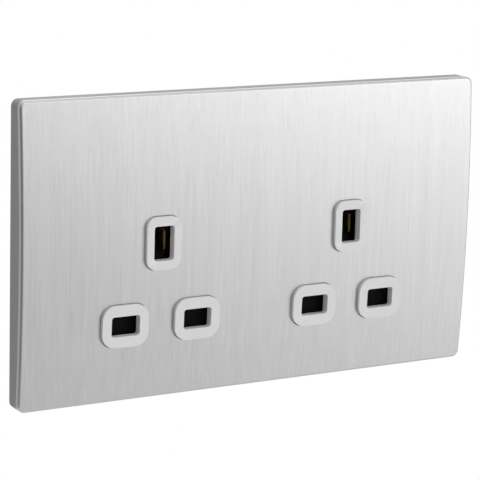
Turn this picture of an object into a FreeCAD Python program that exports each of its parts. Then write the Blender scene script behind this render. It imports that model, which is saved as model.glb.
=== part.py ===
# Twin socket outlet: two three-pin outlets under one clip-on metal plate.
# Millimetres. X runs to the right seen from the front, Z up, and the front faces -Y.
# The wall is the plane Y = 0, and the origin is midway between the two fixing holes.
# Depths are given forward from the wall, so a negative one lies inside the wall box.
import FreeCAD, Part
import math
import os
import re

import Sketcher

DIMENSIONS = {
    # face plate
    "plate_side": 6.0,
    "plate_rim": 4.3,
    "plate_corner": 2.0,
    "bow_radius": 559.0,
    "sheet": 0.5,
    "edge_bend": 0.6,
    "skin_wall": 2.1,
    "groove": 0.2,
    "fit_gap": 0.1,
    "carrier_wall": 1.8,
    "carrier_deck": 1.2,
    "carrier_corner": 0.8,
    # pin layout
    "gang_spacing": 60.3,
    "earth_row": 1.6,
    "power_drop": 22.23,
    "pole_spacing": 22.22,
    # pads and pin entries
    "pad_proud": 1.1,
    "pad_gap": 0.2,
    "earth_pad_width": 10.5,
    "earth_pad_height": 14.8,
    "earth_pad_corner": 3.1,
    "pole_pad_width": 14.1,
    "pole_pad_height": 11.9,
    "pole_pad_corner": 4.0,
    "earth_entry_width": 6.1,
    "earth_entry_height": 9.65,
    "pole_entry_width": 8.6,
    "pole_entry_height": 5.7,
    "entry_corner": 0.8,
    "entry_wall": 2.4,
    "entry_relief": 0.5,
    # front moulding
    "side_room": 7.44,
    "foot_room": 1.97,
    "deck_thick": 1.4,
    "inner_corner": 2.5,
    "moulding_wall": 1.6,
    "skin_gap": 0.4,
    "rail_width": 2.0,
    "stake_radius": 1.0,
    "stake_offset": 15.0,
    "stake_drop": 12.5,
    # shutters
    "shutter_gap": 0.2,
    "shutter_thick": 1.5,
    "shutter_lap": 0.45,
    "shutter_end_lap": 0.7,
    "shutter_travel": 6.0,
    "stem_width": 9.0,
    "ramp_foot": 4.6,
    "ramp_spare": 0.6,
    "ramp_reach": 4.5,
    "side_play": 0.3,
    "spring_lug": 2.0,
    "lug_above_row": 3.6,
    # shutter guides
    "guide_thick": 1.2,
    "guide_gap": 1.0,
    "guide_foot": 2.7,
    "slot_play": 0.4,
    "guide_above": 7.0,
    "seat_thick": 1.0,
    # springs
    "spring_radius": 1.5,
    "spring_wire": 0.4,
    "spring_length": 10.3,
    "spring_turns": 5.0,
    # pins of the plug that the contacts take
    "pin_thick": 4.0,
    "earth_pin_tall": 7.95,
    "pole_pin_length": 17.7,
    "pin_end_gap": 1.0,
    # contacts and busbars
    "strip": 0.6,
    "lip_flare": 0.5,
    "lip_length": 1.4,
    "pole_contact_width": 6.0,
    "pole_contact_front": 2.0,
    "earth_leaf_low": 2.9,
    "earth_leaf_high": 2.4,
    "earth_leaf_front": 3.6,
    "earth_bridge_front": 2.0,
    "earth_bridge_back": 8.0,
    "busbar": 0.8,
    "busbar_width": 4.0,
    "busbar_drop": 4.2,
    "riser_width": 5.0,
    # terminals
    "terminal_width": 8.0,
    "terminal_depth": 6.0,
    "terminal_height": 11.0,
    "terminal_drop": 6.4,
    "earth_terminal_offset": 8.0,
    "wire_bore_radius": 2.1,
    "clamp_radius": 1.75,
    "clamp_head_radius": 2.7,
    "clamp_head": 2.2,
    "clamp_travel": 3.2,
    "clamp_slot": 0.8,
    "thread_gap": 0.05,
    # mounting frame
    "lug_room": 4.3,
    "lug_edge": 5.7,
    "frame_flange": 5.0,
    "window_ledge": 6.5,
    "frame_corner": 4.0,
    "frame_thick": 1.2,
    "fixing_radius": 2.1,
    "tab_offset": 45.0,
    "tab_width": 9.0,
    "tab_height": 3.2,
    "tab_slot_width": 6.0,
    "tab_slot_height": 1.5,
    "hook_width": 5.0,
    "hook_thick": 1.2,
    "hook_root": 1.2,
    "hook_barb": 0.9,
    "strap_width": 6.0,
    # rear housing
    "driver_room": 1.5,
    "screw_inset": 4.0,
    "housing_wall": 1.6,
    "boss_radius": 3.3,
    "pilot_boss_radius": 2.5,
    "screw_radius": 1.4,
    "screw_head_radius": 2.3,
    "screw_head": 1.8,
    "screw_seat": 6.0,
    "screw_reach": 4.8,
    "clearance_hole": 0.3,
    "driver_radius": 3.25,
    "wire_gap": 0.3,
}

# Sizes worked out from the driving ones, from the wall forward and from the pins outward.
DERIVED = {
    "pole_row": "earth_row - power_drop",
    "guide_back": "frame_thick + guide_gap",
    "guide_front": "guide_back + guide_thick",
    "shutter_back": "guide_front + shutter_gap",
    "shutter_front": "shutter_back + shutter_thick",
    "deck_inside": "shutter_front + shutter_gap",
    "deck_front": "deck_inside + deck_thick",
    "skin_back": "deck_front + skin_gap",
    "plate_front": "skin_back + sheet",
    "groove_bottom": "plate_front - skin_wall - groove",
    "blade_half": "(pole_spacing + pole_entry_width)/2 + shutter_end_lap",
    "guide_half": "blade_half + side_play + rail_width",
    "blade_low": "pole_row - pole_entry_height/2 - shutter_lap",
    "blade_high": "pole_row + pole_entry_height/2 + shutter_lap",
    "guide_slot": "pin_thick + 2*strip + 2*lip_flare + 2*slot_play",
    "ramp_width": "pin_thick - 2*side_play",
    "ramp_top": "shutter_travel + ramp_spare - ramp_foot",
    "spring_axis": "shutter_back - spring_radius - spring_wire/2 - fit_gap",
    "spring_seat": "pole_row + lug_above_row - spring_length",
    "guide_low": "spring_seat - seat_thick - guide_foot",
    "guide_high": "earth_row + guide_above",
    "inner_width": "gang_spacing + 2*guide_half + 2*side_room",
    "inner_height": "2*(foot_room - guide_low)",
    "fixing_spacing": "inner_width + 2*lug_room",
    "frame_width": "fixing_spacing + 2*lug_edge",
    "frame_height": "inner_height + 2*frame_flange",
    "frame_window_width": "inner_width - 2*window_ledge",
    "frame_window_height": "2*(side_play + seat_thick - spring_seat)",
    "plate_width": "frame_width + 2*plate_side",
    "plate_height": "frame_height + 2*plate_rim",
    "bow_reach": "plate_height/2 + plate_side",
    "screw_offset": "inner_width/2 - screw_inset",
    "screw_rise": "inner_height/2 - screw_inset",
    "pole_contact_back": "pole_pin_length + pin_end_gap - plate_front - pad_proud",
    "pole_terminal_foot": "inner_height/2 - housing_wall - terminal_drop - terminal_height",
    "bridge_under": "earth_pin_tall/2 + side_play",
    "earth_terminal_foot": "earth_row + bridge_under + strip + busbar",
    "clamp_room": "clamp_travel + fit_gap + clamp_head + driver_room",
    "housing_depth": "pole_contact_back + strip + busbar + clamp_room + housing_wall",
}

WORD = re.compile(r"[a-z_]\w*")

doc = FreeCAD.newDocument("twin_socket")
sheet = doc.addObject("Spreadsheet::Sheet", "dims")
for row, (name, size) in enumerate(DIMENSIONS.items(), start=1):
    sheet.set(f"A{row}", name)
    sheet.set(f"B{row}", str(size))
    sheet.setAlias(f"B{row}", name)
doc.recompute()


def cell(word):
    name = word.group()
    return f"({bound(DERIVED[name])})" if name in DERIVED else f"dims.{name}"


def bound(text):
    """An expression in which every word is a cell of the sheet, or worked out from cells."""
    return WORD.sub(cell, str(text))


def number(text):
    return float(sheet.evalExpression(bound(text)))


def bind(target, path, text):
    target.setExpression(path, bound(text))


def drawing(body, role, name, offset="0"):
    """A sketch on one of the body's own planes, moved along the plane's normal."""
    sketch = body.newObject("Sketcher::SketchObject", name)
    plane = next(f for f in body.Origin.OriginFeatures if f.Role == role)
    sketch.AttachmentSupport = [(plane, "")]
    sketch.MapMode = "FlatFace"
    bind(sketch, "AttachmentOffset.Base.z", offset)
    return sketch


def hold_point(sketch, item, point, across, up):
    for kind, text in (("DistanceX", across), ("DistanceY", up)):
        index = sketch.addConstraint(
            Sketcher.Constraint(kind, -1, 1, item, point, number(text))
        )
        bind(sketch, f"Constraints[{index}]", text)


def polygon(sketch, points):
    """A closed outline whose corners are pairs of expressions."""
    spots = [FreeCAD.Vector(number(a), number(b), 0) for a, b in points]
    first = sketch.GeometryCount
    count = len(points)
    for n in range(count):
        sketch.addGeometry(Part.LineSegment(spots[n], spots[(n + 1) % count]))
    for n in range(count):
        after = first + (n + 1) % count
        sketch.addConstraint(Sketcher.Constraint("Coincident", first + n, 2, after, 1))
    for n, (across, up) in enumerate(points):
        hold_point(sketch, first + n, 1, across, up)


def rectangle(sketch, left, right, low, high):
    polygon(sketch, [(left, low), (right, low), (right, high), (left, high)])


def circle(sketch, across, up, radius):
    centre = FreeCAD.Vector(number(across), number(up), 0)
    index = sketch.addGeometry(Part.Circle(centre, FreeCAD.Vector(0, 0, 1), number(radius)))
    hold_point(sketch, index, 3, across, up)
    size = sketch.addConstraint(Sketcher.Constraint("Radius", index, number(radius)))
    bind(sketch, f"Constraints[{size}]", radius)


def rounded(sketch, centre, width, height, radius):
    """A rectangle about a centre, its four corners arcs of one radius."""
    across, up = centre
    inset = [
        (f"{across} + ({width})/2 - ({radius})", f"{up} + ({height})/2 - ({radius})"),
        (f"{across} - ({width})/2 + ({radius})", f"{up} + ({height})/2 - ({radius})"),
        (f"{across} - ({width})/2 + ({radius})", f"{up} - ({height})/2 + ({radius})"),
        (f"{across} + ({width})/2 - ({radius})", f"{up} - ({height})/2 + ({radius})"),
    ]
    size = number(radius)
    normal = FreeCAD.Vector(0, 0, 1)
    arcs = []
    for n, (a, b) in enumerate(inset):
        spot = FreeCAD.Vector(number(a), number(b), 0)
        turn = n * math.pi / 2
        arc = Part.ArcOfCircle(Part.Circle(spot, normal, size), turn, turn + math.pi / 2)
        arcs.append(sketch.addGeometry(arc))
    ends = [(sketch.getPoint(arc, 1), sketch.getPoint(arc, 2)) for arc in arcs]
    for n in range(4):
        after = (n + 1) % 4
        line = sketch.addGeometry(Part.LineSegment(ends[n][1], ends[after][0]))
        sketch.addConstraint(Sketcher.Constraint("Tangent", arcs[n], 2, line, 1))
        sketch.addConstraint(Sketcher.Constraint("Tangent", line, 2, arcs[after], 1))
    for n, (a, b) in enumerate(inset):
        hold_point(sketch, arcs[n], 3, a, b)
    first = sketch.addConstraint(Sketcher.Constraint("Radius", arcs[0], size))
    bind(sketch, f"Constraints[{first}]", radius)
    for arc in arcs[1:]:
        sketch.addConstraint(Sketcher.Constraint("Equal", arcs[0], arc))


def new_body(label):
    body = doc.addObject("PartDesign::Body", label)
    body.Label = label
    return body


def pad(body, sketch, length, symmetric=False):
    feature = body.newObject("PartDesign::Pad", sketch.Name + "_pad")
    feature.Profile = sketch
    feature.Length = number(length)
    bind(feature, "Length", length)
    if symmetric:
        feature.SideType = "Symmetric"
    doc.recompute()
    return feature


def pocket(body, sketch, length, symmetric=False):
    before = body.Shape.Volume
    feature = body.newObject("PartDesign::Pocket", sketch.Name + "_pocket")
    feature.Profile = sketch
    feature.Length = number(length)
    bind(feature, "Length", length)
    if symmetric:
        feature.SideType = "Symmetric"
    doc.recompute()
    if not body.Shape.Volume < before:
        raise ValueError(f"{feature.Name} cuts nothing")
    return feature


def front_sketch(body, name, forward):
    """A sketch parallel to the wall, this far forward of it. A pad grows to the front."""
    return drawing(body, "XZ_Plane", name, forward)


def trim_to_bow(body, name, front, keep_behind=True):
    """Cuts the body along the cylinder that the bowed plate follows."""
    sketch = drawing(body, "YZ_Plane", name)
    far = "plate_height" if keep_behind else "-1 * plate_height"
    front_x, centre_x = f"-1 * ({front})", f"bow_radius - ({front})"
    centre = FreeCAD.Vector(number(centre_x), 0, 0)
    half = number("bow_reach / bow_radius")
    arc = Part.ArcOfCircle(
        Part.Circle(centre, FreeCAD.Vector(0, 0, 1), number("bow_radius")),
        math.pi - half,
        math.pi + half,
    )
    bow = sketch.addGeometry(arc)
    high, low = sketch.getPoint(bow, 1), sketch.getPoint(bow, 2)
    outside = number(f"{front_x} - {far}")
    corners = [
        FreeCAD.Vector(high.x, high.y, 0),
        FreeCAD.Vector(outside, high.y, 0),
        FreeCAD.Vector(outside, low.y, 0),
        FreeCAD.Vector(low.x, low.y, 0),
    ]
    lines = [
        sketch.addGeometry(Part.LineSegment(corners[n], corners[n + 1])) for n in range(3)
    ]
    sketch.addConstraint(Sketcher.Constraint("Coincident", bow, 1, lines[0], 1))
    sketch.addConstraint(Sketcher.Constraint("Coincident", lines[0], 2, lines[1], 1))
    sketch.addConstraint(Sketcher.Constraint("Coincident", lines[1], 2, lines[2], 1))
    sketch.addConstraint(Sketcher.Constraint("Coincident", lines[2], 2, bow, 2))
    sketch.addConstraint(Sketcher.Constraint("Horizontal", lines[0]))
    sketch.addConstraint(Sketcher.Constraint("Horizontal", lines[2]))
    hold_point(sketch, bow, 3, centre_x, "0")
    size = sketch.addConstraint(Sketcher.Constraint("Radius", bow, number("bow_radius")))
    bind(sketch, f"Constraints[{size}]", "bow_radius")
    hold_point(sketch, lines[1], 1, f"{front_x} - {far}", "bow_reach")
    hold_point(sketch, lines[1], 2, f"{front_x} - {far}", "-1 * bow_reach")
    return pocket(body, sketch, "plate_width + 2*plate_side", symmetric=True)


def edges_of_front(feature, radius):
    """Names of the edges round the bowed front face."""
    shape = feature.Shape
    names = {}
    for n, edge in enumerate(shape.Edges, start=1):
        names[edge.hashCode()] = f"Edge{n}"
    found = []
    for face in shape.Faces:
        surface = face.Surface
        if isinstance(surface, Part.Cylinder) and abs(surface.Radius - radius) < 1e-4:
            found += [names[edge.hashCode()] for edge in face.Edges]
    return sorted(set(found), key=lambda word: int(word[4:]))


def round_front(body, radius):
    """A fillet round the bowed front face."""
    base = body.Tip
    feature = body.newObject("PartDesign::Fillet", body.Name + "_bend")
    feature.Base = (base, edges_of_front(base, number("bow_radius")))
    feature.Radius = number(radius)
    bind(feature, "Radius", radius)
    doc.recompute()
    return feature


def boolean(kind, label, pieces):
    result = doc.addObject("Part::" + kind, label)
    if kind == "Cut":
        result.Base, result.Tool = pieces
    else:
        result.Shapes = pieces
    result.Label = label
    doc.recompute()
    return result


GANGS = {"left": "-1 * gang_spacing / 2", "right": "gang_spacing / 2"}
POLES = {"neutral": "-1 * pole_spacing / 2", "live": "pole_spacing / 2"}


def layout(kind):
    """Centre, width, height and corner of each pad or pin entry."""
    items = []
    for gang in GANGS.values():
        if kind == "pad":
            size = ("earth_pad_width", "earth_pad_height", "earth_pad_corner")
            pole = ("pole_pad_width", "pole_pad_height", "pole_pad_corner")
        else:
            size = ("earth_entry_width", "earth_entry_height", "entry_corner")
            pole = ("pole_entry_width", "pole_entry_height", "entry_corner")
        items.append(((gang, "earth_row"), *size))
        for side in POLES.values():
            items.append(((f"{gang} + {side}", "pole_row"), *pole))
    return items


def draw_all(sketch, items, grow="0"):
    for centre, width, height, corner in items:
        rounded(
            sketch, centre, f"{width} + 2*({grow})", f"{height} + 2*({grow})", f"{corner} + {grow}"
        )


def plate_blank(label, inset, corner, front, bend=None):
    """The bowed block that the plate's outside and its hollow both come from."""
    body = new_body(label)
    sketch = front_sketch(body, label + "_plan", "0")
    rounded(
        sketch,
        ("0", "0"),
        f"plate_width - 2*{inset}",
        f"plate_height - 2*{inset}",
        corner,
    )
    pad(body, sketch, "plate_front + edge_bend")
    trim_to_bow(body, label + "_bow", front)
    if bend:
        round_front(body, bend)
    return body


def make_skin():
    outside = plate_blank("skin_outside", "0", "plate_corner", "plate_front", "edge_bend")
    windows = front_sketch(outside, "skin_windows", "plate_front + edge_bend")
    draw_all(windows, layout("pad"), "pad_gap")
    pocket(outside, windows, "plate_front + edge_bend")
    trim_to_bow(outside, "skin_edge", "plate_front - skin_wall", keep_behind=False)
    inside = plate_blank("skin_inside", "sheet", "plate_corner - sheet", "skin_back")
    return boolean("Cut", "faceplate_skin", [outside, inside])


def make_hook(label, side, end):
    """One snap arm of the carrier, with the barb that catches in its tab's slot."""
    body = new_body(label)
    sketch = drawing(body, "YZ_Plane", label + "_section")
    inner = "(frame_height/2 + side_play/2)"
    slot = "(frame_thick + (tab_height - tab_slot_height)/2)"
    tip = f"{end} * ({inner} - hook_barb)"
    polygon(
        sketch,
        [
            ("-1 * (skin_back - carrier_deck - hook_root)", f"{end} * {inner}"),
            (f"-1 * ({slot} + tab_slot_height - fit_gap)", f"{end} * {inner}"),
            (f"-1 * ({slot} + tab_slot_height - fit_gap)", tip),
            (f"-1 * ({slot} + tab_slot_height/2)", tip),
            (f"-1 * ({slot} + fit_gap)", f"{end} * {inner}"),
            (f"-1 * ({slot} - hook_thick/2)", f"{end} * {inner}"),
            (f"-1 * ({slot} - hook_thick/2)", f"{end} * ({inner} + hook_thick)"),
            ("-1 * (skin_back - carrier_deck - hook_root)", f"{end} * ({inner} + hook_thick)"),
        ],
    )
    pad(body, sketch, "hook_width", symmetric=True)
    bind(body, "Placement.Base.x", f"{side} * tab_offset")
    return body


def make_carrier():
    skirt = new_body("carrier_skirt")
    outline = front_sketch(skirt, "skirt_plan", "0")
    rounded(outline, ("0", "0"), "plate_width", "plate_height", "plate_corner")
    pad(skirt, outline, "plate_front")
    trim_to_bow(skirt, "skirt_bow", "groove_bottom")
    inset = "(sheet + fit_gap)"
    core = plate_blank("carrier_core", inset, f"plate_corner - {inset}", "skin_back - fit_gap")
    blank = boolean("MultiFuse", "carrier_blank", [skirt, core])
    hollow = plate_blank(
        "carrier_hollow",
        "(sheet + fit_gap + carrier_wall)",
        "carrier_corner",
        "skin_back - fit_gap - carrier_deck",
    )
    window = new_body("carrier_window")
    opening = front_sketch(window, "window_plan", "0")
    rounded(
        opening,
        ("0", "0"),
        "inner_width + 2*side_play",
        "inner_height + 2*side_play",
        "inner_corner + side_play",
    )
    pad(window, opening, "plate_front")
    frame = boolean("Cut", "carrier_shell", [blank, hollow])
    frame = boolean("Cut", "carrier_frame", [frame, window])
    hooks = [
        make_hook(f"hook_{a}_{b}", side, end)
        for a, side in (("left", "-1"), ("right", "1"))
        for b, end in (("low", "-1"), ("high", "1"))
    ]
    return boolean("MultiFuse", "faceplate_carrier", [frame, *hooks])


def make_moulding():
    body = new_body("front_moulding")
    deck = front_sketch(body, "moulding_outline", "frame_thick")
    rounded(deck, ("0", "0"), "inner_width", "inner_height", "inner_corner")
    pad(body, deck, "plate_front - frame_thick")
    trim_to_bow(body, "moulding_bow", "skin_back - skin_gap")
    hollow = front_sketch(body, "moulding_hollow", "deck_inside")
    rounded(
        hollow,
        ("0", "0"),
        "inner_width - 2*moulding_wall",
        "inner_height - 2*moulding_wall",
        "inner_corner - moulding_wall",
    )
    pocket(body, hollow, "deck_inside - frame_thick")
    pads = front_sketch(body, "moulding_pads", "deck_inside")
    draw_all(pads, layout("pad"))
    pad(body, pads, "plate_front + pad_proud + edge_bend - deck_inside")
    trim_to_bow(body, "pad_bow", "plate_front + pad_proud")
    entries = front_sketch(body, "pin_entries", "plate_front + pad_proud + edge_bend")
    draw_all(entries, layout("entry"))
    pocket(body, entries, "plate_front + pad_proud + edge_bend - deck_inside + fit_gap")
    for row, place in (("earth", "earth_row"), ("pole", "pole_row")):
        start = f"plate_front + pad_proud - entry_wall - {place} * {place} / (2 * bow_radius)"
        relief = front_sketch(body, row + "_relief", start)
        chosen = [item for item in layout("entry") if item[1].startswith(row)]
        for (across, up), width, height, corner in chosen:
            wide, tall = f"({width}/2 + entry_relief)", f"({height}/2 + entry_relief)"
            rectangle(
                relief, f"{across} - {wide}", f"{across} + {wide}", f"{up} - {tall}", f"{up} + {tall}"
            )
        pocket(body, relief, f"{start} - deck_inside + fit_gap")
    rails = front_sketch(body, "shutter_rails", "guide_front")
    bay, bay_top = "blade_half + side_play", "pole_row + pole_entry_height"
    stem, stop = "stem_width/2 + side_play", "blade_high + shutter_gap"
    stem_top = "earth_row - earth_entry_height/2 - entry_relief"
    for gang in GANGS.values():
        for side in ("-1", "1"):
            for inner, low, high in ((bay, "guide_low", bay_top), (stem, stop, stem_top)):
                near, far = f"{gang} + {side}*({inner})", f"{gang} + {side}*({inner} + rail_width)"
                rectangle(rails, near, far, low, high)
    pad(body, rails, "deck_inside - guide_front")
    stakes = front_sketch(body, "guide_stakes", "guide_back - guide_thick/2")
    for across, up in stake_places():
        circle(stakes, across, up, "stake_radius")
    pad(body, stakes, "deck_inside - guide_back + guide_thick/2")
    bosses = front_sketch(body, "pilot_bosses", "frame_thick")
    for across, up in screw_places():
        circle(bosses, across, up, "pilot_boss_radius")
    pad(body, bosses, "deck_inside - frame_thick")
    pilots = front_sketch(body, "pilot_holes", "screw_reach + fit_gap")
    for across, up in screw_places():
        circle(pilots, across, up, "screw_radius + thread_gap")
    pocket(body, pilots, "screw_reach + fit_gap")
    return body


def stake_places():
    return [
        (f"{gang} {side} stake_offset", "earth_row - stake_drop")
        for gang in GANGS.values()
        for side in ("-", "+")
    ]


def screw_places():
    return [
        (f"{a} * screw_offset", f"{b} * screw_rise") for a in ("-1", "1") for b in ("-1", "1")
    ]


def make_shutter(label, gang):
    """Two blades on a stem, a ramp for the earth pin to push, and a lug for the spring."""
    body = new_body(label)
    top = "(earth_row - ramp_foot)"
    sheet_outline = front_sketch(body, label + "_blades", "shutter_back")
    polygon(
        sheet_outline,
        [
            ("-1 * blade_half", "blade_low"),
            ("blade_half", "blade_low"),
            ("blade_half", "blade_high"),
            ("stem_width/2", "blade_high"),
            ("stem_width/2", top),
            ("-1 * stem_width/2", top),
            ("-1 * stem_width/2", "blade_high"),
            ("-1 * blade_half", "blade_high"),
        ],
    )
    pad(body, sheet_outline, "shutter_thick")
    ramp = drawing(body, "YZ_Plane", label + "_ramp")
    polygon(
        ramp,
        [
            ("-1 * shutter_front", f"{top} - shutter_thick"),
            ("-1 * shutter_front", top),
            ("-1 * shutter_front + ramp_reach", "earth_row + ramp_top"),
            ("-1 * shutter_front + ramp_reach + shutter_thick", "earth_row + ramp_top"),
            ("-1 * shutter_front + ramp_reach + shutter_thick", "earth_row"),
            ("-1 * shutter_back", f"{top} - shutter_thick - shutter_thick/2"),
        ],
    )
    pad(body, ramp, "ramp_width", symmetric=True)
    lug = front_sketch(body, label + "_lug", "spring_axis - spring_radius")
    foot = "pole_row + lug_above_row"
    rectangle(lug, "-1 * spring_radius - spring_wire", "spring_radius + spring_wire",
              foot, f"{foot} + spring_lug")
    pad(body, lug, "shutter_back - spring_axis + spring_radius")
    bind(body, "Placement.Base.x", gang)
    return body


def make_guide(label, gang):
    """The wall behind a shutter, with its pin holes, ramp slot and spring seat."""
    body = new_body(label)
    plate = front_sketch(body, label + "_plate", "guide_back")
    rectangle(plate, "-1 * guide_half", "guide_half", "guide_low", "guide_high")
    slot = "guide_slot/2"
    rectangle(plate, f"-1 * {slot}", slot, "spring_seat", "guide_high - rail_width")
    high = "pole_entry_height/2 + entry_relief"
    for side in POLES.values():
        wide = "(pole_entry_width/2 + entry_relief)"
        rectangle(plate, f"{side} - {wide}", f"{side} + {wide}",
                  f"pole_row - {high}", f"pole_row + {high}")
    for side in ("-1", "1"):
        circle(plate, f"{side} * stake_offset", "earth_row - stake_drop", "stake_radius + fit_gap")
    pad(body, plate, "guide_thick")
    ledge = front_sketch(body, label + "_seat", "spring_axis - spring_radius - spring_wire/2")
    rectangle(ledge, f"-1 * {slot}", slot, "spring_seat - seat_thick", "spring_seat")
    pad(body, ledge, "guide_front - spring_axis + spring_radius + spring_wire/2")
    bind(body, "Placement.Base.x", gang)
    return body


def make_spring(label, gang):
    """A coil spring that stands on the guide's seat, under the shutter's lug."""
    body = new_body(label)
    sketch = drawing(body, "XZ_Plane", label + "_wire")
    rectangle(
        sketch,
        "spring_radius - spring_wire/2",
        "spring_radius + spring_wire/2",
        "0",
        "spring_wire",
    )
    coil = body.newObject("PartDesign::AdditiveHelix", label + "_coil")
    coil.Profile = sketch
    coil.ReferenceAxis = (sketch, ["V_Axis"])
    coil.Mode = "height-turns-angle"
    for name, size in (("Height", "spring_length - spring_wire"), ("Turns", "spring_turns")):
        setattr(coil, name, number(size))
        bind(coil, name, size)
    doc.recompute()
    bind(body, "Placement.Base.x", gang)
    bind(body, "Placement.Base.y", "-1 * spring_axis")
    bind(body, "Placement.Base.z", "spring_seat")
    return body


def make_pole_contact(label, gang, pole, tail):
    """Two leaves that grip a pin from above and below, and a tail against the busbar."""
    body = new_body(label)
    inner, outer = "(pin_thick/2)", "(pin_thick/2 + strip)"
    front, back = "-1 * pole_contact_front", "pole_contact_back"
    bend = "(lip_length - pole_contact_front)"
    far = "(pin_thick/2 + busbar_drop + busbar_width)"
    section = drawing(body, "YZ_Plane", label + "_section")
    polygon(
        section,
        [
            (front, f"{tail} * ({inner} + lip_flare)"),
            (bend, f"{tail} * {inner}"),
            (back, f"{tail} * {inner}"),
            (back, f"-1 * {tail} * {inner}"),
            (bend, f"-1 * {tail} * {inner}"),
            (front, f"-1 * {tail} * ({inner} + lip_flare)"),
            (front, f"-1 * {tail} * ({outer} + lip_flare)"),
            (bend, f"-1 * {tail} * {outer}"),
            (f"{back} + strip", f"-1 * {tail} * {outer}"),
            (f"{back} + strip", f"{tail} * {far}"),
            (back, f"{tail} * {far}"),
            (back, f"{tail} * {outer}"),
            (bend, f"{tail} * {outer}"),
            (front, f"{tail} * ({outer} + lip_flare)"),
        ],
    )
    pad(body, section, "pole_contact_width", symmetric=True)
    bind(body, "Placement.Base.x", f"{gang} + {pole}")
    bind(body, "Placement.Base.z", "pole_row")
    return body


def make_earth_contact(label, gang):
    """Two flared leaves either side of the earth pin, bridged above it."""
    body = new_body(label)
    inner, outer = "(pin_thick/2)", "(pin_thick/2 + strip)"
    front, back = "-1 * earth_leaf_front", "earth_bridge_back"
    bend = "(lip_length - earth_leaf_front)"
    leaves = drawing(body, "XY_Plane", label + "_leaves", "-1 * earth_leaf_low")
    for side in ("-1", "1"):
        polygon(
            leaves,
            [
                (f"{side} * ({inner} + lip_flare)", front),
                (f"{side} * {inner}", bend),
                (f"{side} * {inner}", back),
                (f"{side} * {outer}", back),
                (f"{side} * {outer}", bend),
                (f"{side} * ({outer} + lip_flare)", front),
            ],
        )
    body.AllowCompound = True
    pad(body, leaves, "earth_leaf_low + earth_leaf_high")
    bridge = front_sketch(body, label + "_bridge", "-1 * earth_bridge_back")
    under = "bridge_under"
    polygon(
        bridge,
        [
            (f"-1 * {outer}", "earth_leaf_high - strip"),
            (f"-1 * {inner}", "earth_leaf_high - strip"),
            (f"-1 * {inner}", under),
            (inner, under),
            (inner, "earth_leaf_high - strip"),
            (outer, "earth_leaf_high - strip"),
            (outer, f"{under} + strip"),
            (f"-1 * {outer}", f"{under} + strip"),
        ],
    )
    pad(body, bridge, "earth_bridge_back - earth_bridge_front")
    bind(body, "Placement.Base.x", gang)
    bind(body, "Placement.Base.z", "earth_row")
    return body


def pole_height(tail):
    near = f"(pole_row + {tail} * (pin_thick/2 + busbar_drop))"
    far = f"(pole_row + {tail} * (pin_thick/2 + busbar_drop + busbar_width))"
    return near, far


def make_pole_busbar(label, pole, riser, tail):
    """A flat bar behind both gangs' contacts, with a riser to its terminal."""
    body = new_body(label)
    plane = "-1 * (pole_contact_back + strip + busbar)"
    left = f"({GANGS['left']} + {pole} - pole_contact_width/2)"
    right = f"({GANGS['right']} + {pole} + pole_contact_width/2)"
    near, far = pole_height(tail)
    bar = front_sketch(body, label + "_bar", plane)
    rectangle(bar, left, right, near, far)
    pad(body, bar, "busbar")
    climb = front_sketch(body, label + "_riser", plane)
    top = "pole_terminal_foot + terminal_height - busbar"
    rectangle(climb, f"{riser} - riser_width/2", f"{riser} + riser_width/2", near, top)
    pad(body, climb, "busbar")
    hole = front_sketch(body, label + "_screw_hole", "-1 * pole_contact_back")
    middle = "pole_terminal_foot + terminal_height/2"
    circle(hole, riser, middle, "clamp_radius + thread_gap")
    pocket(body, hole, "strip + busbar + fit_gap")
    return body


def make_earth_busbar():
    body = new_body("earth_busbar")
    bottom = "earth_row + bridge_under + strip"
    bar = drawing(body, "XY_Plane", "earth_bar", bottom)
    end = "(gang_spacing/2 + pin_thick/2 + strip)"
    front = "earth_bridge_back - terminal_depth"
    rectangle(bar, f"-1 * {end}", end, front, "earth_bridge_back")
    pad(body, bar, "busbar")
    return body


def make_terminal(label, across, foot, back):
    """A brass block with a wire bore from the top and a threaded hole from the rear."""
    body = new_body(label)
    block = drawing(body, "XY_Plane", label + "_block", foot)
    rectangle(
        block,
        f"{across} - terminal_width/2",
        f"{across} + terminal_width/2",
        f"{back} - terminal_depth",
        back,
    )
    pad(body, block, "terminal_height")
    bore = drawing(body, "XY_Plane", label + "_wire_bore", f"{foot} + terminal_height")
    circle(bore, across, f"{back} - terminal_depth/2", "wire_bore_radius")
    pocket(body, bore, "terminal_height")
    thread = front_sketch(body, label + "_thread", f"-1 * ({back}) + terminal_depth/2")
    circle(thread, across, f"{foot} + terminal_height/2", "clamp_radius + thread_gap")
    pocket(body, thread, "terminal_depth/2")
    return body


def make_clamp_screw(label, across, foot, back, washer):
    """A slotted screw, backed out so that its tip just clears the wire bore."""
    body = new_body(label)
    height = f"{foot} + terminal_height/2"
    tip = f"({back} - terminal_depth/2 + wire_bore_radius + fit_gap)"
    under = f"({back} + {washer} + clamp_travel + fit_gap)"
    shank = front_sketch(body, label + "_shank", f"-1 * {under}")
    circle(shank, across, height, "clamp_radius")
    pad(body, shank, f"{under} - {tip}")
    head = front_sketch(body, label + "_head", f"-1 * ({under} + clamp_head)")
    circle(head, across, height, "clamp_head_radius")
    pad(body, head, "clamp_head")
    slot = front_sketch(body, label + "_slot", f"-1 * ({under} + clamp_head/2)")
    reach = "clamp_head_radius + fit_gap"
    rectangle(
        slot,
        f"{across} - {reach}",
        f"{across} + {reach}",
        f"{height} - clamp_slot/2",
        f"{height} + clamp_slot/2",
    )
    pocket(body, slot, "clamp_head/2 + fit_gap")
    return body


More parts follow.
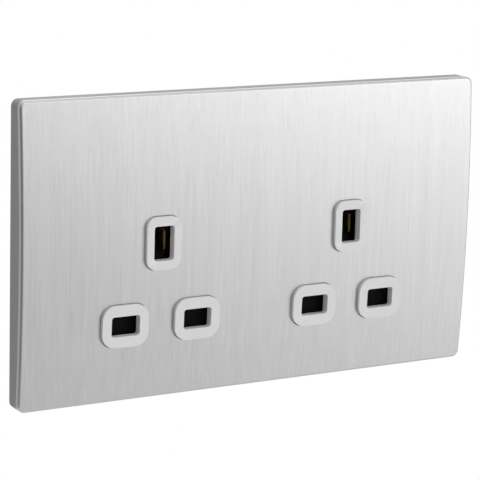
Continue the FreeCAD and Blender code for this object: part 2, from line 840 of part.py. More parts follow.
def terminals():
    """Each terminal's place across, foot and rear face."""
    live = f"{GANGS['right']} + {POLES['live']}"
    neutral = f"{GANGS['left']} + {POLES['neutral']}"
    foot = "earth_terminal_foot"
    pole_back = "(pole_contact_back + strip)"
    return {
        "live_terminal": (live, "pole_terminal_foot", pole_back),
        "neutral_terminal": (neutral, "pole_terminal_foot", pole_back),
        "left_earth_terminal": ("-1 * earth_terminal_offset", foot, "earth_bridge_back"),
        "right_earth_terminal": ("earth_terminal_offset", foot, "earth_bridge_back"),
    }


def make_frame():
    body = new_body("mounting_frame")
    plate = front_sketch(body, "frame_outline", "0")
    rounded(plate, ("0", "0"), "frame_width", "frame_height", "frame_corner")
    rounded(plate, ("0", "0"), "frame_window_width", "frame_window_height", "inner_corner")
    for side in ("-1", "1"):
        circle(plate, f"{side} * fixing_spacing/2", "0", "fixing_radius")
    for across, up in screw_places():
        circle(plate, across, up, "screw_radius + clearance_hole")
    pad(body, plate, "frame_thick")
    tabs = front_sketch(body, "frame_tabs", "0")
    for side in ("-1", "1"):
        for end in ("-1", "1"):
            rectangle(
                tabs,
                f"{side} * tab_offset - tab_width/2",
                f"{side} * tab_offset + tab_width/2",
                f"{end} * (frame_height/2 - frame_thick)",
                f"{end} * frame_height/2",
            )
    pad(body, tabs, "frame_thick + tab_height")
    slots = front_sketch(
        body, "tab_slots", "frame_thick + (tab_height + tab_slot_height)/2"
    )
    for side in ("-1", "1"):
        for end in ("-1", "1"):
            rectangle(
                slots,
                f"{side} * tab_offset - tab_slot_width/2",
                f"{side} * tab_offset + tab_slot_width/2",
                f"{end} * (frame_height/2 - 2*frame_thick)",
                f"{end} * (frame_height/2 + frame_thick)",
            )
    pocket(body, slots, "tab_slot_height")
    return body


def make_housing():
    body = new_body("rear_housing")
    tray = front_sketch(body, "housing_outline", "-1 * housing_depth")
    rounded(tray, ("0", "0"), "inner_width", "inner_height", "inner_corner")
    pad(body, tray, "housing_depth")
    hollow = front_sketch(body, "housing_hollow", "0")
    rounded(
        hollow,
        ("0", "0"),
        "inner_width - 2*housing_wall",
        "inner_height - 2*housing_wall",
        "inner_corner - housing_wall",
    )
    pocket(body, hollow, "housing_depth - housing_wall")
    bosses = front_sketch(body, "housing_bosses", "-1 * housing_depth")
    for across, up in screw_places():
        circle(bosses, across, up, "boss_radius")
    pad(body, bosses, "housing_depth")
    wells = front_sketch(body, "screw_wells", "-1 * screw_seat")
    for across, up in screw_places():
        circle(wells, across, up, "screw_head_radius + side_play")
    pocket(body, wells, "housing_depth - screw_seat")
    holes = front_sketch(body, "screw_holes", "0")
    for across, up in screw_places():
        circle(holes, across, up, "screw_radius + clearance_hole")
    pocket(body, holes, "screw_seat")
    drivers = front_sketch(body, "driver_holes", "fit_gap - housing_depth + housing_wall")
    wires = drawing(body, "XY_Plane", "wire_entries", "inner_height/2")
    reach = "(wire_bore_radius + wire_gap)"
    for across, foot, back in terminals().values():
        circle(drivers, across, f"{foot} + terminal_height/2", "driver_radius")
        middle = f"({back} - terminal_depth/2)"
        rectangle(
            wires,
            f"{across} - {reach}",
            f"{across} + {reach}",
            f"{middle} - {reach}",
            f"{middle} + {reach}",
        )
    pocket(body, drivers, "housing_wall + fit_gap")
    pocket(body, wires, "housing_wall + fit_gap")
    return body


def make_strap():
    """Copper strip that earths the mounting frame from the earth bar."""
    body = new_body("frame_earth_strap")
    section = drawing(body, "YZ_Plane", "strap_section")
    foot = "earth_terminal_foot"
    top = "(frame_window_height/2 + busbar_width/2)"
    polygon(
        section,
        [
            ("0", foot),
            ("earth_bridge_back", foot),
            ("earth_bridge_back", f"{foot} + strip"),
            ("strip", f"{foot} + strip"),
            ("strip", top),
            ("0", top),
        ],
    )
    pad(body, section, "strap_width", symmetric=True)
    return body


def make_screws():
    body = new_body("assembly_screws")
    body.AllowCompound = True
    shanks = front_sketch(body, "screw_shanks", "-1 * screw_seat")
    for across, up in screw_places():
        circle(shanks, across, up, "screw_radius")
    pad(body, shanks, "screw_seat + screw_reach")
    heads = front_sketch(body, "screw_heads", "-1 * (screw_seat + screw_head)")
    for across, up in screw_places():
        circle(heads, across, up, "screw_head_radius")
    pad(body, heads, "screw_head")
    slots = front_sketch(body, "screw_slots", "-1 * (screw_seat + screw_head/2)")
    reach = "(screw_head_radius + fit_gap)"
    for across, up in screw_places():
        rectangle(
            slots,
            f"{across} - {reach}",
            f"{across} + {reach}",
            f"{up} - clamp_slot/2",
            f"{up} + clamp_slot/2",
        )
    pocket(body, slots, "screw_head/2 + fit_gap")
    return body


def build():
    pieces = [make_skin(), make_carrier(), make_moulding(), make_frame(), make_housing()]
    for gang, across in GANGS.items():
        pieces.append(make_shutter(f"{gang}_shutter", across))
        pieces.append(make_guide(f"{gang}_shutter_guide", across))
        pieces.append(make_spring(f"{gang}_shutter_spring", across))
        pieces.append(make_earth_contact(f"{gang}_earth_contact", across))
        for pole, tail in (("neutral", "-1"), ("live", "1")):
            label = f"{gang}_{pole}_contact"
            pieces.append(make_pole_contact(label, across, POLES[pole], tail))
    for pole, tail in (("live", "1"), ("neutral", "-1")):
        riser = terminals()[f"{pole}_terminal"][0]
        pieces.append(make_pole_busbar(f"{pole}_busbar", POLES[pole], riser, tail))
    pieces.append(make_earth_busbar())
    for name, place in terminals().items():
        washer = "0" if "earth" in name else "busbar"
        pieces.append(make_terminal(name, *place))
        pieces.append(make_clamp_screw(name + "_screw", *place, washer))
    pieces.append(make_strap())
    pieces.append(make_screws())
    return pieces


def check(pieces):
    doc.recompute()
    for item in doc.Objects:
        if "Invalid" in item.State or "Error" in item.State:
            raise ValueError(f"{item.Name} failed: {item.State}")
    for piece in pieces:
        if piece.Shape.isNull() or not piece.Shape.isValid():
            raise ValueError(f"{piece.Label} has no valid shape")


def main():
    pieces = build()
    check(pieces)
    os.makedirs("parts", exist_ok=True)
    for piece in pieces:
        piece.Shape.exportStep(f"parts/{piece.Label}.step")
        box = piece.Shape.BoundBox
        print(f"{piece.Label}: {len(piece.Shape.Solids)} solid, {piece.Shape.Volume:.1f} mm3,"
              f" x {box.XMin:.2f}..{box.XMax:.2f} y {box.YMin:.2f}..{box.YMax:.2f}"
              f" z {box.ZMin:.2f}..{box.ZMax:.2f}")


main()
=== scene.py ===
# A twin socket outlet under a clip-on plate of brushed steel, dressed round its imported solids.
# X runs to the right, Z up and the front faces -Y. Sizes are named in millimetres, meshes are in metres.
import math

import bmesh
import bpy
from mathutils import Matrix, Vector


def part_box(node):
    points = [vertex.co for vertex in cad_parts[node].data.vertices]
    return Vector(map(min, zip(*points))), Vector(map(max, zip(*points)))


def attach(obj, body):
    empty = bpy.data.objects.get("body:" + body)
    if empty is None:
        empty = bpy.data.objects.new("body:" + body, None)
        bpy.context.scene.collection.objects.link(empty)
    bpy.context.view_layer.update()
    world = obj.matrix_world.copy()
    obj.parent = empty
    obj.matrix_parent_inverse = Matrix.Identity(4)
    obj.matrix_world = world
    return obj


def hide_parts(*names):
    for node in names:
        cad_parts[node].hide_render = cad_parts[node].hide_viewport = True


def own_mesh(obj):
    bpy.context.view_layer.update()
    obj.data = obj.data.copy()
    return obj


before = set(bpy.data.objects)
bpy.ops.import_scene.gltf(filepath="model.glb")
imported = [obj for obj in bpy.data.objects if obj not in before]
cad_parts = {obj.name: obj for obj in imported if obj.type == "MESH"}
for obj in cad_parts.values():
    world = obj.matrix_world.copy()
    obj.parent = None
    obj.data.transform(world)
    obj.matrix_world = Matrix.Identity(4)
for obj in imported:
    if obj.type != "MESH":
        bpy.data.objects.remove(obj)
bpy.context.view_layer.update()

MM = 0.001
ROOT = "socket"
GANGS = ("left", "right")


# Colours and nodes
def colour(code):
    """Linear red, green, blue and alpha of an sRGB hex value."""
    parts = [int(code[n : n + 2], 16) / 255 for n in (1, 3, 5)]
    linear = [p / 12.92 if p <= 0.04045 else ((p + 0.055) / 1.055) ** 2.4 for p in parts]
    return (*linear, 1.0)


def add(tree, kind, inputs=None, **settings):
    """Adds a node with its settings; an input is a value, or the socket that feeds it."""
    made = tree.nodes.new(kind)
    for name, value in settings.items():
        setattr(made, name, value)
    for key, value in (inputs or {}).items():
        if isinstance(value, bpy.types.NodeSocket):
            tree.links.new(value, made.inputs[key])
        else:
            made.inputs[key].default_value = value
    return made


# The levels between which most of a noise pattern lies, and those that only its few peaks reach
COMMON = {"From Min": 0.3, "From Max": 0.7}
PEAKS = {"From Min": 0.58, "From Max": 0.74}


def start_material(name):
    """An empty material, its tree, and the object's own coordinates."""
    material = bpy.data.materials.new(name)
    material.use_nodes = True
    tree = material.node_tree
    tree.nodes.clear()
    place = add(tree, "ShaderNodeTexCoord").outputs["Object"]
    return material, tree, place


def end_material(tree, base, **shader_inputs):
    """One Principled shader of this base colour, with underscores for spaces in its other inputs."""
    inputs = {name.replace("_", " "): value for name, value in shader_inputs.items()}
    shader = add(tree, "ShaderNodeBsdfPrincipled", {"Base Color": base, **inputs})
    add(tree, "ShaderNodeOutputMaterial", {"Surface": shader.outputs["BSDF"]})


def grain(tree, place, pitch, detail=2.0):
    """Noise whose cells are this many millimetres across along X, Y and Z."""
    scale = [1 / (size * MM) for size in pitch]
    mapped = add(tree, "ShaderNodeMapping", {"Vector": place, "Scale": scale}).outputs["Vector"]
    noise = {"Vector": mapped, "Scale": 1.0, "Detail": detail, "Roughness": 0.55}
    return add(tree, "ShaderNodeTexNoise", noise).outputs["Fac"]


def lines_over(tree, base, lines, share, shade):
    """A few lines of another shade over a colour; at its peak a line hides this share of it."""
    ranged = {"Value": lines, "To Max": share, **PEAKS}
    factor = add(tree, "ShaderNodeMapRange", ranged).outputs["Result"]
    mixed = {"Factor": factor, "A": base, "B": colour(shade)}
    return add(tree, "ShaderNodeMix", mixed, data_type="RGBA").outputs["Result"]


def texture(tree, pattern, smooth, rough, depth, under=None):
    """Roughness between two values, and relief this many millimetres high, from one pattern."""
    ranged = {"Value": pattern, "To Min": smooth, "To Max": rough, **COMMON}
    bump = {"Height": pattern, "Distance": depth * MM, "Strength": 1.0}
    if under is not None:
        bump["Normal"] = under
    return {
        "Roughness": add(tree, "ShaderNodeMapRange", ranged).outputs["Result"],
        "Normal": add(tree, "ShaderNodeBump", bump).outputs["Normal"],
    }


# Materials
# Widths and lengths of the brushed steel's patterns. A real belt leaves a line every 0.1 mm or less,
# too fine for the render to show, so the lines are drawn several times as wide.
STREAK = (0.6, 0.6, 40.0)
SCRATCH = (0.14, 0.14, 12.0)
CLOUD = (3.0, 3.0, 60.0)
DULL_LINE = (0.5, 0.5, 22.0)
CLEAR_LINE = (0.4, 0.4, 16.0)
CLOUD_SHARE = 0.3
STREAK_RELIEF = 0.006
SCRATCH_RELIEF = 0.003
# Slow changes of tone in a moulding, and its skin. The real skin has grains of about 0.05 mm, and is
# drawn coarser for the same reason.
FLOW = (14.0, 14.0, 14.0)
MOULD_SKIN = (0.25, 0.25, 0.25)
# Crystals of zinc, the grain of strip along its length, and that of wire and turned bar
SPANGLE = (2.2, 2.2, 2.2)
STRIP_GRAIN = (0.2, 4.0, 4.0)
WIRE_GRAIN = (0.3, 0.3, 0.3)
BAR_GRAIN = (0.4, 0.4, 0.4)
PAINT_CLOUD = (900.0, 900.0, 900.0)
# How far the roughness goes to each side of its middle, and the height of skin and grain
PLASTIC_VARIES = 0.04
METAL_VARIES = 0.06
SKIN_RELIEF = 0.004
METAL_RELIEF = 0.004


def brushed_stainless():
    """Cold-rolled stainless sheet, brushed up and down with a fine belt: short upright streaks."""
    material, tree, place = start_material("brushed_stainless")
    streak = grain(tree, place, STREAK, detail=4.0)
    scratch = grain(tree, place, SCRATCH)
    shares = {"Factor": CLOUD_SHARE, "A": streak, "B": grain(tree, place, CLOUD)}
    tone = add(tree, "ShaderNodeMix", shares, data_type="FLOAT").outputs["Result"]
    level = add(tree, "ShaderNodeMapRange", {"Value": tone, **COMMON}).outputs["Result"]
    tones = {"Factor": level, "A": colour("#CBCBCB"), "B": colour("#D5D5D5")}
    base = add(tree, "ShaderNodeMix", tones, data_type="RGBA").outputs["Result"]
    dull = grain(tree, place, DULL_LINE, detail=1.0)
    base = lines_over(tree, base, dull, share=0.2, shade="#B2B2B2")
    clear = grain(tree, place, CLEAR_LINE, detail=1.0)
    base = lines_over(tree, base, clear, share=0.15, shade="#F2F2F2")
    fine = {"Height": scratch, "Distance": SCRATCH_RELIEF * MM, "Strength": 1.0}
    under = add(tree, "ShaderNodeBump", fine).outputs["Normal"]
    brushing = texture(tree, streak, smooth=0.31, rough=0.37, depth=STREAK_RELIEF, under=under)
    end_material(tree, base, Metallic=1.0, **brushing)
    return material


def moulded_plastic(name, dark, light, roughness, depth=SKIN_RELIEF, gloss=0.5):
    """Injection moulded plastic: an even colour with a faint flow of tone and a fine skin texture."""
    material, tree, place = start_material(name)
    tones = {"Factor": grain(tree, place, FLOW), "A": colour(dark), "B": colour(light)}
    base = add(tree, "ShaderNodeMix", tones, data_type="RGBA").outputs["Result"]
    smooth, rough = roughness - PLASTIC_VARIES, roughness + PLASTIC_VARIES
    skin = texture(tree, grain(tree, place, MOULD_SKIN), smooth, rough, depth)
    end_material(tree, base, Specular_IOR_Level=gloss, **skin)
    return material


def rolled_metal(name, dark, light, roughness, pitch):
    """Rolled strip, drawn wire or turned bar: a metal whose tone and gloss follow its grain."""
    material, tree, place = start_material(name)
    lines = grain(tree, place, pitch, detail=3.0)
    tones = {"Factor": lines, "A": colour(dark), "B": colour(light)}
    base = add(tree, "ShaderNodeMix", tones, data_type="RGBA").outputs["Result"]
    smooth, rough = roughness - METAL_VARIES, roughness + METAL_VARIES
    rolled = texture(tree, lines, smooth, rough, METAL_RELIEF)
    end_material(tree, base, Metallic=1.0, **rolled)
    return material


def stage_paint():
    """Matt white studio paint on the floor."""
    material, tree, place = start_material("stage_paint")
    cloud = grain(tree, place, PAINT_CLOUD, detail=1.0)
    tones = {"Factor": cloud, "A": colour("#F4F4F4"), "B": colour("#F8F8F8")}
    base = add(tree, "ShaderNodeMix", tones, data_type="RGBA").outputs["Result"]
    end_material(tree, base, Roughness=0.9)
    return material


steel_plate = brushed_stainless()
# Polycarbonate dyed silver-grey, from a blasted mould: a dull and even grey
grey_plastic = moulded_plastic("silver_grey_polycarbonate", "#A0A0A0", "#A6A6A6", 0.5)
# Urea powder pressed in a polished mould: a clean white with a soft shine
white_urea = moulded_plastic("white_urea", "#EAEAEA", "#EFEFEF", 0.22, depth=0.002)
# White polycarbonate from a blasted mould: slightly warm, with hardly any shine
white_tray = moulded_plastic("white_polycarbonate_tray", "#E8E8E6", "#EEEEEC", 0.42)
# Nylon dyed through with carbon black: so dark and dull that its edges hardly show
black_nylon = moulded_plastic("black_nylon", "#050505", "#080808", 0.55, gloss=0.08)
# Pressed steel with bright zinc plating: a pale cool grey, cloudy with fine crystals
zinc_plate = rolled_metal("zinc_plated_steel", "#A9ACB0", "#BEC1C4", 0.38, SPANGLE)
# Hard-drawn steel wire: a plain grey with a narrow shine along the wire
spring_wire = rolled_metal("drawn_spring_wire", "#9C9C9C", "#B0B0B0", 0.3, WIRE_GRAIN)
# Turned steel with a thin yellowish plating: the grey of straw
screw_steel = rolled_metal("plated_screw_steel", "#A8A596", "#C0BDAE", 0.32, BAR_GRAIN)
# Brass strip and blocks, left as rolled: a satin warm yellow
rolled_brass = rolled_metal("rolled_brass", "#C5A773", "#E0C08B", 0.34, STRIP_GRAIN)
# Soft copper strip, left as rolled: a satin red-brown
rolled_copper = rolled_metal("rolled_copper", "#B4704F", "#CC8A66", 0.36, STRIP_GRAIN)


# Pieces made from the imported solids
# Vertices closer than MERGE are one, and slivers thinner than WELD are closed up
MERGE = 0.0005 * MM
WELD = 0.003 * MM
# Faces that meet at less than FLAT are one face, and edges that turn more than SHARP are rounded
FLAT = math.radians(0.05)
SHARP = math.radians(32)


def piece_from(name, bm, material):
    """A new object at the origin from a finished bmesh."""
    mesh = bpy.data.meshes.new(name)
    bm.to_mesh(mesh)
    bm.free()
    mesh.materials.append(material)
    piece = bpy.data.objects.new(name, mesh)
    bpy.context.scene.collection.objects.link(piece)
    return piece


def stands_for(piece, node, body):
    """The piece rides on the node's body and is shown in its place."""
    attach(piece, body)
    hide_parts(node)


def settle(piece):
    """Applies the piece's modifiers to its mesh."""
    bpy.context.view_layer.update()
    graph = bpy.context.evaluated_depsgraph_get()
    mesh = bpy.data.meshes.new_from_object(piece.evaluated_get(graph))
    piece.modifiers.clear()
    piece.data = mesh


def cut(piece, tool):
    """Takes the tool's volume out of the piece, and the tool away."""
    trim = piece.modifiers.new("cut", "BOOLEAN")
    trim.operation = "DIFFERENCE"
    trim.solver = "EXACT"
    trim.object = tool
    settle(piece)
    bpy.data.objects.remove(tool)


def soften_edges(piece, rounding):
    """Rounds what is left sharp, and shades the rest smooth."""
    for face in piece.data.polygons:
        face.use_smooth = True
    edges = piece.modifiers.new("edges", "BEVEL")
    edges.limit_method = "ANGLE"
    edges.angle_limit = SHARP
    edges.width = rounding * MM
    edges.segments = 2
    edges.harden_normals = True
    shade = piece.modifiers.new("shade", "WEIGHTED_NORMAL")
    shade.keep_sharp = True


def softened(node, material, rounding, body=ROOT):
    """The node's own form, its seams across flat faces taken out and its sharp edges rounded."""
    bm = bmesh.new()
    bm.from_mesh(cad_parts[node].data)
    bmesh.ops.remove_doubles(bm, verts=bm.verts, dist=MERGE)
    bmesh.ops.dissolve_limit(bm, angle_limit=FLAT, verts=bm.verts, edges=bm.edges)
    piece = piece_from(node + "_finished", bm, material)
    soften_edges(piece, rounding)
    stands_for(piece, node, body)


# The plate, modelled as pressed sheet
GANG_SPACING = 60.3
EARTH_ROW = 1.6
POLE_ROW = -20.63
POLE_SPACING = 22.22
# Width, height and corner radius of a pad, and the space round it
EARTH_PAD = (10.5, 14.8, 3.1)
POLE_PAD = (14.1, 11.9, 4.0)
PAD_GAP = 0.2
BOW_RADIUS = 559.0
PLATE_CORNER = 2.0
EDGE_BEND = 0.6
SHEET = 0.5
SKIN_WALL = 2.1
# How far the cutting blocks reach past the sheet, before it and behind it
BEFORE_SHEET = 1.0
BEHIND_SHEET = 2.0
BEHIND_WALL = 1.0
WINDOW_ROUNDING = 0.08
# Height of a slice of the bowed face, and steps round each corner
SLICE = 1.5
ROUND_STEPS = 8
# A face is of the front where its normal's Y is below the first value, and of a side where it is
# within the second value of 0
FRONT_NORMAL = -0.9
SIDE_NORMAL = 0.5


def pad_places():
    """Centre and size of each pad: one earth pad and two pole pads in each gang."""
    places = []
    for middle in (-GANG_SPACING / 2, GANG_SPACING / 2):
        places.append((middle, EARTH_ROW, EARTH_PAD))
        for side in (-POLE_SPACING / 2, POLE_SPACING / 2):
            places.append((middle + side, POLE_ROW, POLE_PAD))
    return places


def rounded_block(bm, width, height, corner, front, back, across=0.0, up=0.0):
    """A block between two depths whose four edges along Y are rounded."""
    block = bmesh.ops.create_cube(bm, size=1.0)["verts"]
    bmesh.ops.scale(bm, vec=Vector((width, front - back, height)) * MM, verts=block)
    middle = Vector((across, -(front + back) / 2, up)) * MM
    bmesh.ops.translate(bm, vec=middle, verts=block)
    own = [edge for edge in bm.edges if edge.verts[0] in block]
    bmesh.ops.bevel(
        bm,
        geom=[e for e in own if abs((e.verts[0].co - e.verts[1].co).y) > MERGE],
        offset=corner * MM,
        offset_type="OFFSET",
        segments=ROUND_STEPS,
        profile=0.5,
        affect="EDGES",
        material=-1,
    )


def bow(bm, straight, front, back, back_follows):
    """Slices a block between its corners and sets its front, and if wanted its back, on the bow."""
    count = round(straight / SLICE)
    for n in range(count + 1):
        level = Vector((0, 0, (n / count - 0.5) * straight * MM))
        every = bm.verts[:] + bm.edges[:] + bm.faces[:]
        bmesh.ops.bisect_plane(bm, geom=every, dist=MERGE, plane_co=level, plane_no=(0, 0, 1))
    half = -(front + back) / 2 * MM
    radius = BOW_RADIUS * MM
    for vert in bm.verts:
        if vert.co.y < half or back_follows:
            vert.co.y += radius - math.sqrt(radius**2 - vert.co.z**2)


def round_rim(bm, bend):
    """Rounds the edge where the bowed front meets the sides."""
    bm.normal_update()
    rim = []
    for edge in bm.edges:
        along = sorted(face.normal.y for face in edge.link_faces)
        if len(along) == 2 and along[0] < FRONT_NORMAL and abs(along[1]) < SIDE_NORMAL:
            rim.append(edge)
    bmesh.ops.bevel(
        bm,
        geom=rim,
        offset=bend * MM,
        offset_type="OFFSET",
        segments=ROUND_STEPS,
        profile=0.5,
        affect="EDGES",
        material=-1,
        clamp_overlap=True,
    )


def bowed_shell(name, inset, front, back, back_follows, bend):
    """A bowed block as large as the plate less an inset, its front rim rounded."""
    low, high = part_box("faceplate_skin")
    width = (high.x - low.x) / MM - 2 * inset
    height = (high.z - low.z) / MM - 2 * inset
    bm = bmesh.new()
    rounded_block(bm, width, height, PLATE_CORNER - inset, front, back)
    bow(bm, height - 2 * (PLATE_CORNER - inset), front, back, back_follows)
    round_rim(bm, bend)
    return piece_from(name, bm, steel_plate)


def pad_windows(front):
    """A block for each window in the sheet, as large as its pad and the space round it."""
    bm = bmesh.new()
    for across, up, (width, height, corner) in pad_places():
        rounded_block(
            bm,
            width + 2 * PAD_GAP,
            height + 2 * PAD_GAP,
            corner + PAD_GAP,
            front + BEFORE_SHEET,
            front - BEHIND_SHEET,
            across,
            up,
        )
    return piece_from("windows", bm, steel_plate)


def plate_skin():
    """The steel skin: a bowed face, a rounded rim, a short wall and a window round each pad."""
    front = -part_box("faceplate_skin")[0].y / MM
    skin = bowed_shell("brushed_plate", 0.0, front, front - SKIN_WALL, True, EDGE_BEND)
    inner_bend = EDGE_BEND - SHEET
    cut(skin, bowed_shell("plate_inside", SHEET, front - SHEET, -BEHIND_WALL, False, inner_bend))
    cut(skin, pad_windows(front))
    weld = skin.modifiers.new("weld", "WELD")
    weld.merge_threshold = WELD
    settle(skin)
    soften_edges(skin, WINDOW_ROUNDING)
    stands_for(skin, "faceplate_skin", ROOT)


# Springs and screws
SPRING_TURNS = 5
SPRING_WIRE = 0.4
WIRE_STEPS = 12
TURN_STEPS = 24
# Radius of the shank and of the head, and height of the head
CLAMP_SCREW = (1.75, 2.7, 2.2)
TRAY_SCREW = (1.4, 2.3, 1.8)
THREAD_PITCH = 0.6
THREAD_DEPTH = 0.22
HEAD_ROUND = 0.25
SLOT_WIDTH = 0.8
# Depth of the slot as a share of the head's height
SLOT_DEPTH = 0.5
SCREW_ROUNDING = 0.04
SCREW_STEPS = 32
# From the tray's sides to the axes of its screws
SCREW_INSET = 4.0


def coil_spring(gang):
    """Round wire wound up the spring's axis, from the bottom of the node's box to its top."""
    node = f"{gang}_shutter_spring"
    low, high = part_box(node)
    wire = SPRING_WIRE / 2 * MM
    radius = (high.x - low.x) / 2 - wire
    steps = SPRING_TURNS * TURN_STEPS
    bm = bmesh.new()
    ring = bmesh.ops.create_circle(bm, segments=WIRE_STEPS, radius=wire)["verts"]
    start = Vector(((low.x + high.x) / 2 + radius, (low.y + high.y) / 2, low.z + wire))
    turn = Matrix.Rotation(math.pi / 2, 4, "X")
    bmesh.ops.transform(bm, matrix=Matrix.Translation(start) @ turn, verts=ring)
    bmesh.ops.spin(
        bm,
        geom=bm.verts[:] + bm.edges[:],
        cent=((low.x + high.x) / 2, (low.y + high.y) / 2, 0.0),
        axis=(0, 0, 1),
        dvec=(0, 0, (high.z - low.z - 2 * wire) / steps),
        angle=2 * math.pi * SPRING_TURNS,
        steps=steps,
    )
    bmesh.ops.holes_fill(bm, edges=bm.edges)
    bmesh.ops.recalc_face_normals(bm, faces=bm.faces)
    for face in bm.faces:
        face.smooth = len(face.verts) == 4
    coil = piece_from(f"{gang}_coil", bm, spring_wire)
    stands_for(coil, node, ROOT)
    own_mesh(coil)


def thread_profile(radius, low, high):
    """Radius and depth of each ridge and root between two depths."""
    points = []
    for n in range(int((high - low) / THREAD_PITCH)):
        points.append((radius, low + (n + 0.25) * THREAD_PITCH))
        points.append((radius - THREAD_DEPTH, low + (n + 0.75) * THREAD_PITCH))
    return points


def turned_screw(bm, across, up, tip, seat, sizes):
    """A screw along Y with a rounded head and a threaded shank."""
    shank, head, tall = sizes
    core = shank - THREAD_DEPTH
    top = seat + tall
    profile = [
        (0.0, tip),
        (core - THREAD_DEPTH, tip),
        (core, tip + THREAD_DEPTH),
        *thread_profile(shank, tip + THREAD_DEPTH, seat),
        (shank, seat),
        (head, seat),
        (head, top - HEAD_ROUND),
        (head - HEAD_ROUND / 3, top - HEAD_ROUND / 3),
        (head - HEAD_ROUND, top),
        (0.0, top),
    ]
    points = [bm.verts.new(Vector((across + r, y, up)) * MM) for r, y in profile]
    edges = [bm.edges.new(pair) for pair in zip(points, points[1:])]
    bmesh.ops.spin(
        bm,
        geom=points + edges,
        cent=Vector((across, 0.0, up)) * MM,
        axis=(0, 1, 0),
        angle=2 * math.pi,
        steps=SCREW_STEPS,
        use_merge=True,
    )


def screws(node, places, sizes, body):
    """The node's screws, each with its slot across."""
    low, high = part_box(node)
    tip, top = low.y / MM, high.y / MM
    head, tall = sizes[1:]
    turned = bmesh.new()
    slots = bmesh.new()
    for across, up in places:
        turned_screw(turned, across, up, tip, top - tall, sizes)
        slot = bmesh.ops.create_cube(slots, size=1.0)["verts"]
        wide = Vector((3 * head, tall, SLOT_WIDTH)) * MM
        middle = Vector((across, top + tall * (0.5 - SLOT_DEPTH), up)) * MM
        bmesh.ops.scale(slots, vec=wide, verts=slot)
        bmesh.ops.translate(slots, vec=middle, verts=slot)
    bmesh.ops.remove_doubles(turned, verts=turned.verts, dist=MERGE)
    bmesh.ops.recalc_face_normals(turned, faces=turned.faces)
    piece = piece_from(node + "_turned", turned, screw_steel)
    cut(piece, piece_from("slots", slots, screw_steel))
    soften_edges(piece, SCREW_ROUNDING)
    stands_for(piece, node, body)


# The whole socket
plate_skin()
softened("faceplate_carrier", grey_plastic, rounding=0.3)
softened("front_moulding", white_urea, rounding=0.06)
softened("mounting_frame", zinc_plate, rounding=0.12)
softened("rear_housing", white_tray, rounding=0.25)
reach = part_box("rear_housing")[1] / MM
tray_corners = [
    (side * (reach.x - SCREW_INSET), end * (reach.z - SCREW_INSET))
    for side in (-1, 1)
    for end in (-1, 1)
]
screws("assembly_screws", tray_corners, TRAY_SCREW, ROOT)
softened("frame_earth_strap", rolled_copper, rounding=0.1)
for bar in ("live_busbar", "neutral_busbar", "earth_busbar"):
    softened(bar, rolled_brass, rounding=0.12)
for gang in GANGS:
    shutter = f"{gang}_shutter"
    softened(shutter, black_nylon, rounding=0.15, body=f"{shutter}_body")
    softened(f"{shutter}_guide", black_nylon, rounding=0.15)
    coil_spring(gang)
    for contact in ("earth", "neutral", "live"):
        softened(f"{gang}_{contact}_contact", rolled_brass, rounding=0.08)
for terminal in ("live", "neutral", "left_earth", "right_earth"):
    softened(f"{terminal}_terminal", rolled_brass, rounding=0.2)
    screw = f"{terminal}_terminal_screw"
    middle = sum(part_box(screw), Vector()) / 2 / MM
    screws(screw, [(middle.x, middle.z)], CLAMP_SCREW, f"{screw}_body")


# Stage, light and camera
FLOOR_SIZE = 3000.0
FLOOR_LEVEL = -900.0
# Strength of the light that comes from everywhere
AMBIENT = 0.02
# Azimuth from the front towards the right, elevation, spread in degrees, and strength. The plate
# mirrors the room about the fifth and sixth box, and the last two light the back.
SOFTBOXES = (
    (0, 90, 40, 1.0),
    (-10, 60, 20, 0.47),
    (50, 60, 20, 0.5),
    (-10, 30, 20, 0.7),
    (37, 10, 11, 2.82),
    (53, -6, 11, 1.1),
    (-10, -20, 12, 0.6),
    (50, -35, 20, 1.47),
    (-90, -35, 20, 0.15),
    (-150, -12, 25, 0.34),
    (162, 2, 20, 2.0),
)
CAMERA_PLACE = Vector((-300.9, -516.3, 129.0)) * MM
CAMERA_AIM = Vector((-1.4, 0.0, -1.6)) * MM
CAMERA_ROLL = math.radians(1.67)
CAMERA_LENS = 162.3
SENSOR_WIDTH = 36.0
NEAREST = 10 * MM


def stage_floor():
    """A level square far below the socket, which is no part of it."""
    bm = bmesh.new()
    bmesh.ops.create_grid(bm, x_segments=1, y_segments=1, size=FLOOR_SIZE / 2 * MM)
    bmesh.ops.translate(bm, vec=(0, 0, FLOOR_LEVEL * MM), verts=bm.verts)
    piece_from("floor", bm, stage_paint())


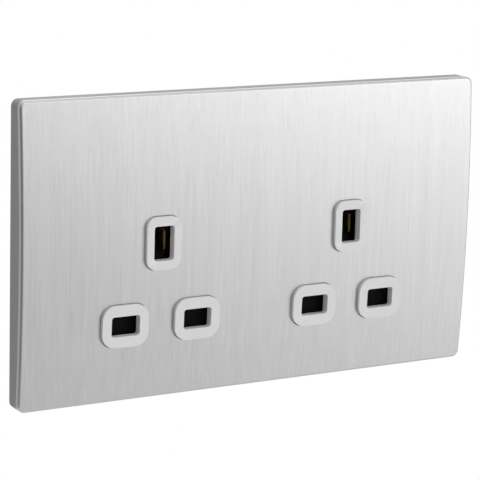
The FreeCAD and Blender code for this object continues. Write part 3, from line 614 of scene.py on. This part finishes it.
def softbox(tree, direction, azimuth, elevation, spread, strength):
    """Light that swells smoothly towards one direction of the room."""
    around, above = math.radians(azimuth), math.radians(elevation)
    facing = (
        math.sin(around) * math.cos(above),
        -math.cos(around) * math.cos(above),
        math.sin(above),
    )
    steep = math.radians(spread) ** -2
    towards = {0: direction, 1: facing}
    aligned = add(tree, "ShaderNodeVectorMath", towards, operation="DOT_PRODUCT").outputs["Value"]
    away = add(tree, "ShaderNodeMath", {0: aligned, 1: 1.0}, operation="SUBTRACT").outputs[0]
    fall = add(tree, "ShaderNodeMath", {0: away, 1: steep}, operation="MULTIPLY").outputs[0]
    swell = add(tree, "ShaderNodeMath", {0: fall}, operation="EXPONENT").outputs[0]
    return add(tree, "ShaderNodeMath", {0: swell, 1: strength}, operation="MULTIPLY").outputs[0]


def studio_room():
    """White behind the object, and soft light from large boxes round it."""
    world = bpy.data.worlds.new("studio")
    bpy.context.scene.world = world
    world.use_nodes = True
    tree = world.node_tree
    tree.nodes.clear()
    direction = add(tree, "ShaderNodeTexCoord").outputs["Generated"]
    total = AMBIENT
    for box in SOFTBOXES:
        light = softbox(tree, direction, *box)
        total = add(tree, "ShaderNodeMath", {0: light, 1: total}, operation="ADD").outputs[0]
    room = add(tree, "ShaderNodeBackground", {"Strength": total}).outputs[0]
    white = add(tree, "ShaderNodeBackground", {"Color": colour("#FFFFFF")}).outputs[0]
    seen = add(tree, "ShaderNodeLightPath").outputs["Is Camera Ray"]
    mixed = add(tree, "ShaderNodeMixShader", {0: seen, 1: room, 2: white}).outputs[0]
    add(tree, "ShaderNodeOutputWorld", {"Surface": mixed})


def photo_camera():
    """The camera where the photograph was taken from."""
    camera = bpy.data.objects.new("camera", bpy.data.cameras.new("camera"))
    camera.data.lens = CAMERA_LENS
    camera.data.sensor_width = SENSOR_WIDTH
    camera.data.clip_start = NEAREST
    aim = (CAMERA_AIM - CAMERA_PLACE).to_track_quat("-Z", "Y").to_matrix()
    turn = (aim @ Matrix.Rotation(CAMERA_ROLL, 3, "Z")).to_4x4()
    camera.matrix_world = Matrix.Translation(CAMERA_PLACE) @ turn
    bpy.context.scene.collection.objects.link(camera)
    bpy.context.scene.camera = camera
    bpy.context.scene.view_settings.view_transform = "Standard"


stage_floor()
studio_room()
photo_camera()
